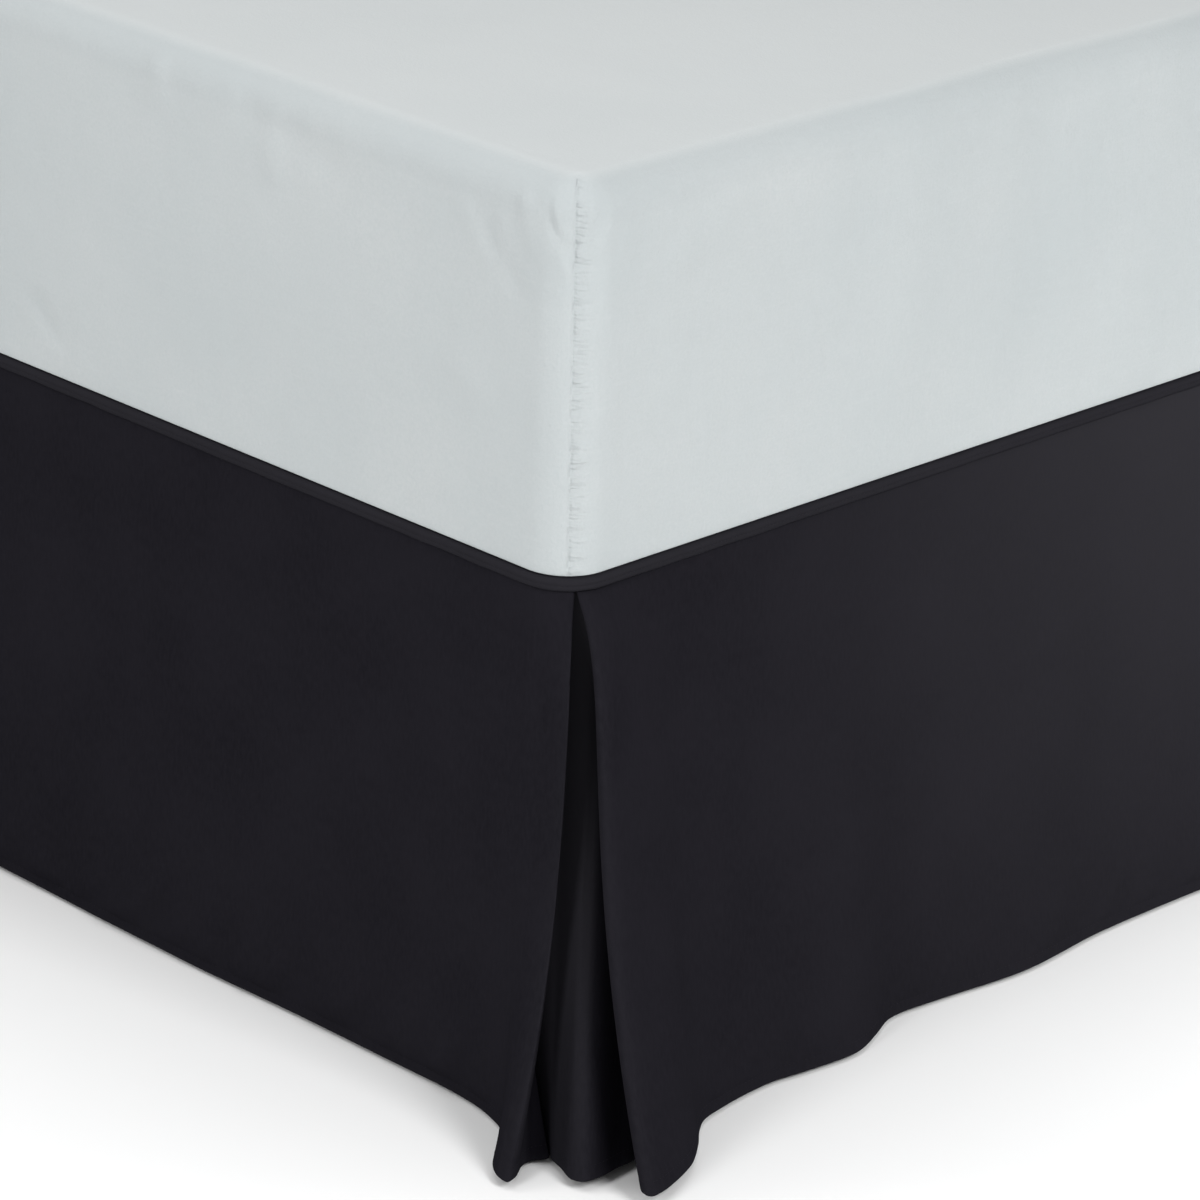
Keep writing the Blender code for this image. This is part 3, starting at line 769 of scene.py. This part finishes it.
# Creases of the fitted sheet at the corner in the picture. Along the foot their places are negative.
SHEET_CREASES = [Ridge(*row) for row in (
    (-0.032, 0.243, -0.005, 0.212, 0.0031, -0.0009), (-0.021, 0.240, -0.006, 0.204, 0.0027, -0.0011),
    (-0.014, 0.232, -0.006, 0.196, 0.0025, 0.0009), (-0.040, 0.236, -0.030, 0.205, 0.0057, 0.0017),
    (-0.068, 0.212, -0.040, 0.176, 0.0069, -0.0024), (-0.058, 0.222, -0.052, 0.186, 0.0046, 0.0019),
    (-0.090, 0.218, -0.070, 0.190, 0.0069, 0.0014), (0.010, 0.238, -0.002, 0.200, 0.0027, 0.0009),
    (0.018, 0.236, 0.000, 0.190, 0.0031, -0.0009), (0.004, 0.236, -0.003, 0.206, 0.0023, -0.0009),
    (-0.268, 0.238, -0.262, 0.190, 0.0069, 0.0024), (-0.378, 0.243, -0.372, 0.215, 0.0069, 0.0022),
    (-0.290, 0.232, -0.200, 0.212, 0.0115, -0.0017), (-0.497, 0.052, -0.470, 0.026, 0.0057, -0.0027),
    (-0.100, 0.120, -0.070, 0.100, 0.0172, 0.0015), (0.075, 0.190, 0.130, 0.215, 0.0138, 0.0014),
    (0.300, 0.235, 0.290, 0.030, 0.0345, 0.0020), (0.420, 0.235, 0.425, 0.030, 0.0299, -0.0020),
    (0.540, 0.235, 0.530, 0.030, 0.0345, 0.0020),
)]
CREASE_RUNS_PAST, CREASE_FADES_OVER = 0.25, 0.4
CREASES_MOVE = 0.013

# The fitted sheet's corner seam: how far it lies from the corner's middle at the mattress's foot, how far it
# leans over by the top, how deep and wide it draws in, and the heights of the puckers beside it.
SEAM_AT_FOOT, SEAM_LEANS = 0.0023, -0.0041
CORNER_SEAM_DEPTH, CORNER_SEAM_WIDTH = 0.0007, 0.0040
SEAM_PUCKERS = (0.1985, 0.1800, 0.1635, 0.1410, 0.1250, 0.1085, 0.0870, 0.0700, 0.0576)
PUCKER_DEPTH, PUCKER_HEIGHT, PUCKER_REACH = 0.0013, 0.0032, 0.012
PUCKER_LEAN, PUCKER_SHIFT = 0.25, 0.002

# The rest of the fitted sheet's form: its unevenness, the swell of its walls, and its flat top, which starts
# a little in from the edge and rises to a crown over the same distance on every side.
SHEET_SLACK, SHEET_SLACK_FINE, TOP_SLACK_SHARE = 0.0012, 0.00035, 0.6
WALL_SWELLS, WALL_STARTS = 0.0010, 0.012
TOP_FROM, CROWN_OVER, TOP_ABOVE = 0.02, 0.30, 0.05
SEAM_ENDS_AT, NO_SEAM = 0.015, 1.0


def cut_lines(length, start, end, start_cells, end_cells, step, near=0.0, near_cells=0):
    """Places along an edge: close together in the zones at its two ends and next to them, and a step apart
    between them.
    """
    between_them = length - start - end - 2 * near
    zones = (
        (start, start_cells), (near, near_cells), (between_them, max(1, round(between_them / step))),
        (near, near_cells), (end, end_cells),
    )
    lines, at = [], 0.0
    for size, cells in zones:
        lines += [at + size * cell / cells for cell in range(cells)]
        at += size
    return lines + [length]


def rounded_block(low, high, corner, top_edge, foot_edge, steps, corner_cells, near=0.0, near_cells=0):
    """A block cut into a fine grid, with round upright corners, and its top and bottom edges rounded over.

    Returns the bmesh, and for each point how far it is from its nearest upright corner along the wall,
    which corner that is, and how deep it lies in from the outline.
    """
    size = high - low
    cuts = (
        cut_lines(size.x, corner, corner, corner_cells, corner_cells, steps[0], near, near_cells),
        cut_lines(size.y, corner, corner, corner_cells, corner_cells, steps[1], near, near_cells),
        cut_lines(size.z, foot_edge, top_edge, FOOT_EDGE_CELLS, TOP_EDGE_CELLS, steps[2]),
    )
    shape = bmesh.new()
    shape.verts.layers.float.new("seam")
    bmesh.ops.create_cube(shape, size=1.0)
    for axis in range(3):
        edges = [edge for edge in shape.edges if abs(edge.verts[0].co[axis] - edge.verts[1].co[axis]) > 1e-4]
        bmesh.ops.subdivide_edges(shape, edges=edges, cuts=len(cuts[axis]) - 2)
    where = {}
    for point in shape.verts:
        x, y, z = (cuts[axis][round((point.co[axis] + 0.5) * (len(cuts[axis]) - 1))] for axis in range(3))
        x, y = x - size.x / 2, y - size.y / 2
        inner_x = max(corner - size.x / 2, min(size.x / 2 - corner, x))
        inner_y = max(corner - size.y / 2, min(size.y / 2 - corner, y))
        out_x, out_y = x - inner_x, y - inner_y
        reach = max(abs(out_x), abs(out_y))
        depth = corner - reach
        for edge, above in ((top_edge, z - (size.z - top_edge)), (foot_edge, foot_edge - z)):
            if above > 0 and reach > 0 and depth < edge:
                inside = edge - depth
                pull = max(inside, above) / hypot(inside, above)
                depth = edge - inside * pull
                z = size.z - edge + above * pull if edge == top_edge and z > size.z / 2 else edge - above * pull
        if reach > 0:
            out_x, out_y = (part * (corner - depth) / reach for part in (out_x, out_y))
        if abs(out_x) > 1e-9 and abs(out_y) > 1e-9:
            pull = max(abs(out_x), abs(out_y)) / hypot(out_x, out_y)
            along = (pi / 4 - atan2(abs(out_y), abs(out_x))) * corner
            out_x, out_y = out_x * pull, out_y * pull
        elif abs(out_x) > abs(out_y):
            along = corner * pi / 4 + size.y / 2 - corner - abs(inner_y)
        else:
            along = -(corner * pi / 4 + size.x / 2 - corner - abs(inner_x))
        point.co = (inner_x + out_x, inner_y + out_y, z)
        where[point] = (along, (1 if x > 0 else -1, 1 if y > 0 else -1), depth)
    bmesh.ops.translate(shape, vec=((low.x + high.x) / 2, (low.y + high.y) / 2, low.z), verts=shape.verts)
    foot = [face for face in shape.faces if all(abs(point.co.z - low.z) < 1e-6 for point in face.verts)]
    bmesh.ops.dissolve_faces(shape, faces=foot)
    bmesh.ops.recalc_face_normals(shape, faces=shape.faces)
    shape.normal_update()
    return shape, where


def sheet_seam(high):
    """Where the fitted sheet's corner seam runs, from the corner's middle, at a height above its foot."""
    return SEAM_AT_FOOT + SEAM_LEANS * high / (BED_HIGH.z - BED_LOW.z)


def sheet_height(along, corner, depth, high, place):
    """How far the fitted sheet stands out from the mattress's smooth form."""
    height = SHEET_SLACK * noise.noise(place * 4.0) + SHEET_SLACK_FINE * noise.noise(place * 19.0 + Vector((5, 1, 2)))
    if depth > TOP_FROM:
        crown = smooth(depth / CROWN_OVER)
        return (height * TOP_SLACK_SHARE + MATTRESS_CROWN * crown) * smooth(high / TOP_ABOVE)
    # The hidden corners carry the same creases, moved along a little.
    moved = 0.0 if corner == (1, -1) else CREASES_MOVE * (2 * corner[0] + corner[1])
    height += ridge_height(SHEET_CREASES, along - moved, high, CREASE_RUNS_PAST, CREASE_FADES_OVER)
    height += WALL_SWELLS * sin(pi * min(1.0, high / (BED_HIGH.z - BED_LOW.z)))
    seam = along - sheet_seam(high)
    height -= CORNER_SEAM_DEPTH * exp(-((seam / CORNER_SEAM_WIDTH) ** 2))
    if seam > 0:
        pucker = 0.0
        for at in SEAM_PUCKERS:
            away = (high - at - PUCKER_SHIFT * (corner[0] + corner[1]) - PUCKER_LEAN * seam) / PUCKER_HEIGHT
            pucker += exp(-away * away)
        height -= PUCKER_DEPTH * pucker * exp(-seam / PUCKER_REACH)
    return height * smooth(high / WALL_STARTS)


def mattress_in_sheet(look):
    shape, where = rounded_block(
        BED_LOW, BED_HIGH, CORNER_RADIUS, MATTRESS_TOP_EDGE, MATTRESS_FOOT_EDGE, MATTRESS_STEPS,
        MATTRESS_CORNER_CELLS, FINE_BY_CORNER, FINE_BY_CORNER_CELLS,
    )
    seam = shape.verts.layers.float["seam"]
    for point, (along, corner, depth) in where.items():
        if not point.is_valid:
            continue
        high = point.co.z - BED_LOW.z
        point[seam] = along - sheet_seam(high) if depth < SEAM_ENDS_AT else NO_SEAM
        point.co += point.normal * sheet_height(along, corner, depth, high, point.co)
        if depth < LIP_DEPTH:
            low = smooth((LIP_STARTS - point.co.z + BED_LOW.z) / LIP_STARTS_OVER)
            point.co.z -= LIP_DROP * smooth((LIP_DEPTH - depth) / LIP_EASES_OVER) * low
    shape.normal_update()
    piece = finished("mattress_in_fitted_sheet", shape, look)
    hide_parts("mattress")


BASE_CORNER, BASE_EDGE, BASE_STEPS, BASE_CORNER_CELLS = 0.024, 0.006, (0.030, 0.030, 0.020), 5
BASE_UNEVEN = 0.0008


def base_in_ticking(look):
    low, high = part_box("bed_base")
    shape, where = rounded_block(low, high, BASE_CORNER, BASE_EDGE, BASE_EDGE, BASE_STEPS, BASE_CORNER_CELLS)
    for point in where:
        if point.is_valid:
            wall = 1 - abs(point.normal.z)
            point.co += point.normal * BASE_UNEVEN * noise.noise(point.co * 14) * wall
    piece = finished("base_in_ticking", shape, look)
    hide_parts("bed_base")


# Finishes.
def node(tree, kind, inputs=None, **settings):
    made = tree.nodes.new(kind)
    for word, value in settings.items():
        setattr(made, word, value)
    for word, value in (inputs or {}).items():
        if isinstance(value, bpy.types.NodeSocket):
            tree.links.new(value, made.inputs[word])
        else:
            made.inputs[word].default_value = value
    return made


def look_of(name, shine):
    """An empty look: its material, node tree, shader with its plain values set, and the place on the piece."""
    made = bpy.data.materials.new(name)
    made.use_nodes = True
    tree = made.node_tree
    shader = tree.nodes["Principled BSDF"]
    for word, value in shine.items():
        shader.inputs[word].default_value = value
    return made, tree, shader, node(tree, "ShaderNodeTexCoord").outputs["Object"]


def wired(tree, shader, base, bumps=(), roughness=None):
    """Wires a look's colour, its roughness, and its bumps, each a height, a strength and a distance."""
    tree.links.new(base, shader.inputs["Base Color"])
    if roughness:
        tree.links.new(roughness, shader.inputs["Roughness"])
    raised = {}
    for height, strength, distance in bumps:
        bump = node(tree, "ShaderNodeBump", {"Height": height, "Strength": strength, "Distance": distance, **raised})
        raised = {"Normal": bump.outputs[0]}
    if raised:
        tree.links.new(raised["Normal"], shader.inputs["Normal"])


def stretched(tree, vector, scale):
    return node(tree, "ShaderNodeMapping", {"Vector": vector, "Scale": scale}).outputs["Vector"]


def noise_of(tree, vector, scale, detail=3.0, roughness=0.5):
    return node(
        tree, "ShaderNodeTexNoise",
        {"Vector": vector, "Scale": scale, "Detail": detail, "Roughness": roughness},
    ).outputs["Fac"]


def ranged(tree, value, low, high, to_low, to_high):
    return node(
        tree, "ShaderNodeMapRange",
        {"Value": value, "From Min": low, "From Max": high, "To Min": to_low, "To Max": to_high},
    ).outputs["Result"]


def mixed(tree, factor, first, second):
    """A colour between two, each another node's or plain."""
    made = node(tree, "ShaderNodeMix", data_type="RGBA")
    for word, value in (("Factor_Float", factor), ("A_Color", first), ("B_Color", second)):
        socket = next(s for s in made.inputs if s.identifier == word)
        if isinstance(value, bpy.types.NodeSocket):
            tree.links.new(value, socket)
        else:
            socket.default_value = (*value, 1.0)
    return next(s for s in made.outputs if s.identifier == "Result_Color")


def maths(tree, how, first, second=0.0):
    return node(tree, "ShaderNodeMath", {0: first, 1: second}, operation=how).outputs[0]


def sum_of(tree, first, second):
    return maths(tree, "ADD", first, second)


def product_of(tree, first, second):
    return maths(tree, "MULTIPLY", first, second)


def attribute(tree, word):
    return node(tree, "ShaderNodeAttribute", attribute_name=word).outputs["Fac"]


def height_in(tree, place):
    return node(tree, "ShaderNodeSeparateXYZ", {"Vector": place}).outputs["Z"]


def threads(tree, vector, pitch):
    """A plain weave: crossing threads, each a pitch apart, as a height from 0 to 1."""
    made = []
    for direction in ("X", "Y"):
        made.append(node(
            tree, "ShaderNodeTexWave",
            {"Vector": vector, "Scale": 1 / pitch / (20 / (2 * pi)), "Distortion": 0.6, "Detail": 1.0,
             "Detail Scale": 1.5},
            wave_type="BANDS", bands_direction=direction, wave_profile="SIN",
        ).outputs["Fac"])
    return product_of(tree, made[0], made[1])


def microfibre():
    """Brushed microfibre, near black with a violet cast: a tight weave under a short soft nap."""
    made, tree, shader, place = look_of("brushed_microfibre", {
        "Specular IOR Level": 0.0, "Sheen Weight": 0.0015, "Sheen Roughness": 0.45,
        "Sheen Tint": (0.80, 0.77, 0.92, 1.0),
    })
    cloth = node(tree, "ShaderNodeUVMap", uv_map="cloth").outputs["UV"]
    clouds = noise_of(tree, place, 9.0, 5.0, 0.60)
    nap = noise_of(tree, stretched(tree, cloth, (420.0, 130.0, 1.0)), 1.0, 3.0, 0.6)
    lint = noise_of(tree, cloth, 700.0, 2.0, 0.7)
    painted_light_and_shade = attribute(tree, "nap")
    deep, light = (0.0091, 0.0087, 0.0113), (0.0157, 0.0148, 0.0189)
    base = mixed(tree, ranged(tree, clouds, 0.30, 0.70, 0.15, 0.70), deep, light)
    base = mixed(tree, ranged(tree, nap, 0.35, 0.65, 0.0, 0.5), base, light)
    base = mixed(tree, ranged(tree, lint, 0.62, 0.74, 0.0, 0.25), base, (0.0220, 0.0211, 0.0253))
    # Painted light where the nap layer is above 0, and painted shade where it is below 0.
    base = mixed(tree, product_of(tree, painted_light_and_shade, 0.75), base, (0.0341, 0.0332, 0.0378))
    base = mixed(tree, ranged(tree, painted_light_and_shade, -1.0, 0.0, 1.0, 0.0), base, (0.0031, 0.0028, 0.0041))
    worn = product_of(tree, attribute(tree, "rubbed"), ranged(tree, nap, 0.3, 0.7, 0.15, 0.55))
    base = mixed(tree, worn, base, (0.0171, 0.0163, 0.0201))
    bumps = ((threads(tree, cloth, 0.0006), 0.25, 0.00012), (nap, 0.35, 0.0004))
    wired(tree, shader, base, bumps, ranged(tree, nap, 0.3, 0.7, 0.46, 0.54))
    return made


def sewing_thread():
    """Spun thread: twisted strands that catch the light."""
    made, tree, shader, place = look_of("dark_thread", {"Specular IOR Level": 0.10, "Roughness": 0.6})
    strands = noise_of(tree, place, 1800.0, 2.0)
    colour = (0.0095, 0.0088, 0.0125)
    darker = tuple(part * 0.6 for part in colour)
    base = mixed(tree, ranged(tree, strands, 0.35, 0.65, 0.0, 1.0), darker, colour)
    wired(tree, shader, base, [(strands, 0.4, 0.0001)])
    return made


def corner_seam(tree, place):
    """The fitted sheet's corner seam in millimetres of height: a groove, and short puckers on its right."""
    seam = attribute(tree, "seam")
    groove = ranged(tree, maths(tree, "ABSOLUTE", seam), 0.0, 0.0016, -0.45, 0.0)
    drawn = node(tree, "ShaderNodeCombineXYZ", {
        "X": product_of(tree, seam, 40.0), "Z": product_of(tree, height_in(tree, place), 150.0),
    }).outputs[0]
    puckers = ranged(tree, noise_of(tree, drawn, 1.0, 2.0, 0.6), 0.35, 0.65, -0.9, 0.9)
    starts, fades = ranged(tree, seam, -0.001, 0.0012, 0.0, 1.0), ranged(tree, seam, 0.0, 0.014, 1.0, 0.0)
    return sum_of(tree, groove, product_of(tree, puckers, product_of(tree, starts, fades)))


def sheet_cotton():
    """Pale brushed cotton of the fitted sheet, a little creased, with painted light on its top and painted shade
    under its top edge.
    """
    made, tree, shader, place = look_of("pale_cotton", {
        "Specular IOR Level": 0.25, "Sheen Weight": 0.15, "Sheen Roughness": 0.5,
    })
    top, height = BED_HIGH.z, height_in(tree, place)
    clouds = noise_of(tree, place, 6.0, 4.0, 0.5)
    grain = noise_of(tree, place, 520.0, 3.0, 0.65)
    slubs = noise_of(tree, stretched(tree, place, (30.0, 30.0, 420.0)), 1.0, 2.0, 0.5)
    creased = noise_of(tree, stretched(tree, place, (26.0, 26.0, 15.0)), 1.0, 5.0, 0.62)
    painted_shade_below_edge = ranged(tree, height, top - 0.030, top - 0.010, 0.0, 0.6)
    ends_on_top = ranged(tree, height, top - 0.004, top, 1.0, 0.0)
    base = mixed(tree, ranged(tree, clouds, 0.3, 0.7, 0.0, 1.0), (0.468, 0.502, 0.510), (0.512, 0.538, 0.543))
    base = mixed(tree, ranged(tree, grain, 0.35, 0.65, 0.0, 0.45), base, (0.450, 0.490, 0.498))
    base = mixed(tree, ranged(tree, slubs, 0.55, 0.75, 0.0, 0.05), base, (0.61, 0.63, 0.63))
    # The mattress's top is painted paler, a painted highlight of the light from above, and the wall just below the
    # rounded top edge is painted darker, as painted shade.
    base = mixed(tree, ranged(tree, height, top - 0.003, top + 0.001, 0.0, 1.0), base, (0.545, 0.570, 0.573))
    base = mixed(tree, product_of(tree, painted_shade_below_edge, ends_on_top), base, (0.425, 0.458, 0.467))
    calmer = ranged(tree, height, top - 0.020, top - 0.002, 0.80, 0.20)
    bumps = ((creased, calmer, 0.003), (corner_seam(tree, place), 1.0, 0.001), (grain, 0.60, 0.0004))
    wired(tree, shader, base, bumps, ranged(tree, grain, 0.3, 0.7, 0.74, 0.88))
    return made


def striped_ticking():
    """Cream cotton ticking with narrow woven stripes."""
    made, tree, shader, place = look_of("cream_ticking", {"Specular IOR Level": 0.25, "Roughness": 0.9})
    parts = node(tree, "ShaderNodeSeparateXYZ", {"Vector": place})
    walk = sum_of(tree, parts.outputs["X"], parts.outputs["Y"])
    stripe = maths(tree, "SINE", product_of(tree, walk, 2 * pi / 0.016))
    grain = noise_of(tree, place, 600.0, 3.0, 0.6)
    clouds = noise_of(tree, place, 7.0, 3.0)
    base = mixed(tree, ranged(tree, clouds, 0.3, 0.7, 0.0, 1.0), (0.54, 0.52, 0.46), (0.62, 0.60, 0.54))
    base = mixed(tree, ranged(tree, stripe, 0.80, 0.90, 0.0, 0.55), base, (0.20, 0.22, 0.27))
    base = mixed(tree, ranged(tree, grain, 0.35, 0.65, 0.0, 0.3), base, (0.42, 0.40, 0.36))
    wired(tree, shader, base, [(grain, 0.4, 0.0005)])
    return made


def stained_wood():
    """Dark stained beech: upright grain, paler where the foot is scuffed."""
    made, tree, shader, place = look_of("dark_stained_wood", {"Specular IOR Level": 0.45, "Coat Weight": 0.15})
    grain = noise_of(tree, stretched(tree, place, (260.0, 260.0, 12.0)), 1.0, 4.0, 0.6)
    flecks = noise_of(tree, stretched(tree, place, (900.0, 900.0, 120.0)), 1.0, 2.0, 0.6)
    low_down = ranged(tree, height_in(tree, place), 0.0, 0.014, 1.0, 0.0)
    scuffed = product_of(tree, low_down, ranged(tree, flecks, 0.4, 0.6, 0.1, 0.8))
    base = mixed(tree, ranged(tree, grain, 0.3, 0.7, 0.0, 1.0), (0.018, 0.012, 0.009), (0.055, 0.036, 0.024))
    base = mixed(tree, ranged(tree, flecks, 0.60, 0.70, 0.0, 0.5), base, (0.010, 0.007, 0.005))
    base = mixed(tree, scuffed, base, (0.14, 0.10, 0.07))
    wired(tree, shader, base, [(grain, 0.2, 0.0004)], ranged(tree, grain, 0.3, 0.7, 0.38, 0.55))
    return made


def studio_floor():
    made, tree, shader, place = look_of("pale_floor", {"Specular IOR Level": 0.1, "Roughness": 0.9})
    soft = noise_of(tree, place, 1.5, 2.0)
    base = mixed(tree, ranged(tree, soft, 0.3, 0.7, 0.0, 1.0), (0.93, 0.93, 0.93), (0.95, 0.95, 0.95))
    wired(tree, shader, base)
    shape = bmesh.new()
    bmesh.ops.create_grid(shape, x_segments=2, y_segments=2, size=9.0)
    mesh = bpy.data.meshes.new("floor")
    shape.to_mesh(mesh)
    shape.free()
    mesh.materials.append(made)
    floor = bpy.data.objects.new("floor", mesh)
    bpy.context.scene.collection.objects.link(floor)


def soft_light(name, place, aim, size, power):
    lamp = bpy.data.lights.new(name, "AREA")
    lamp.size = size
    lamp.energy = power
    obj = bpy.data.objects.new(name, lamp)
    obj.location = place
    obj.rotation_euler = (Vector(aim) - Vector(place)).to_track_quat("-Z", "Y").to_euler()
    bpy.context.scene.collection.objects.link(obj)


# The lamps: each one's name, where it hangs, where it points, its size and its power in watts.
NEAR_CORNER = (0.87, -1.05, 0.30)
LAMPS = (
    ("overhead", (0.5, -0.8, 3.6), (0.5, -0.801, 0.0), 2.5, 31.8),
    ("key_on_the_right", (3.321, -1.05, 2.357), NEAR_CORNER, 1.2, 60.5),
    ("fill_from_the_left", (-1.253, -2.276, 2.357), NEAR_CORNER, 1.2, 16.2),
    ("fill_at_the_front", (1.025, -4.013, 1.499), NEAR_CORNER, 0.8, 33.9),
    ("high_fill_at_the_front", (0.988, -3.31, 2.563), NEAR_CORNER, 0.8, 7.9),
    ("floor_on_the_right", (1.9, 0.3, 0.6), (1.9, 0.301, 0.0), 0.5, 12.8),
)
SKY_STRENGTH = 0.32


def studio():
    studio_floor()
    for lamp in LAMPS:
        soft_light(*lamp)
    sky = bpy.data.worlds.new("studio_white")
    sky.use_nodes = True
    back = sky.node_tree.nodes["Background"]
    back.inputs["Color"].default_value = (1.0, 1.0, 1.0, 1.0)
    back.inputs["Strength"].default_value = SKY_STRENGTH
    bpy.context.scene.world = sky
    bpy.context.scene.view_settings.view_transform = "Standard"


# The camera of the picture: a long lens, a little above the bed, on its right foot corner. Its turns in
# degrees are round the bed, down from level and about its own line of sight.
LENS, SENSOR_WIDTH, SEES_TO = 176.97, 36.0, 60.0
CAMERA_AT = (3.1015, -3.3747, 1.7267)
TURNED_ROUND, LOOKS_DOWN, TILTED = 44.0997, 22.0096, 2.371


def photo_camera():
    lens = bpy.data.cameras.new("camera")
    lens.lens, lens.sensor_width, lens.clip_end = LENS, SENSOR_WIDTH, SEES_TO
    camera = bpy.data.objects.new("camera", lens)
    stands = Matrix.Translation(CAMERA_AT)
    for degrees, axis in ((TURNED_ROUND, "Z"), (90 - LOOKS_DOWN, "X"), (TILTED, "Z")):
        stands = stands @ Matrix.Rotation(radians(degrees), 4, axis)
    camera.matrix_world = stands
    bpy.context.scene.collection.objects.link(camera)
    bpy.context.scene.camera = camera


def main():
    photo_camera()
    studio()
    cloth = microfibre()
    thread = sewing_thread()
    cotton = sheet_cotton()

    rim_lines = platform_sheet(cloth)
    hem_lines = [foot_drop(cloth)]
    for side, word in ((1, "right"), (-1, "left")):
        hem_lines.append(side_drop(word, side, cloth))
        hem_lines.append(pleat_lining(word, side, cloth))
    stitches("hem_stitches", hem_lines, thread)
    stitches("rim_stitches", rim_lines, thread)

    mattress_in_sheet(cotton)
    base_in_ticking(striped_ticking())
    wood = stained_wood()
    for word in ("foot_left", "foot_right", "head_left", "head_right"):
        leg = frame["nodes"][f"leg_{word}"]
        for place in leg.material_slots:
            place.material = wood


main()
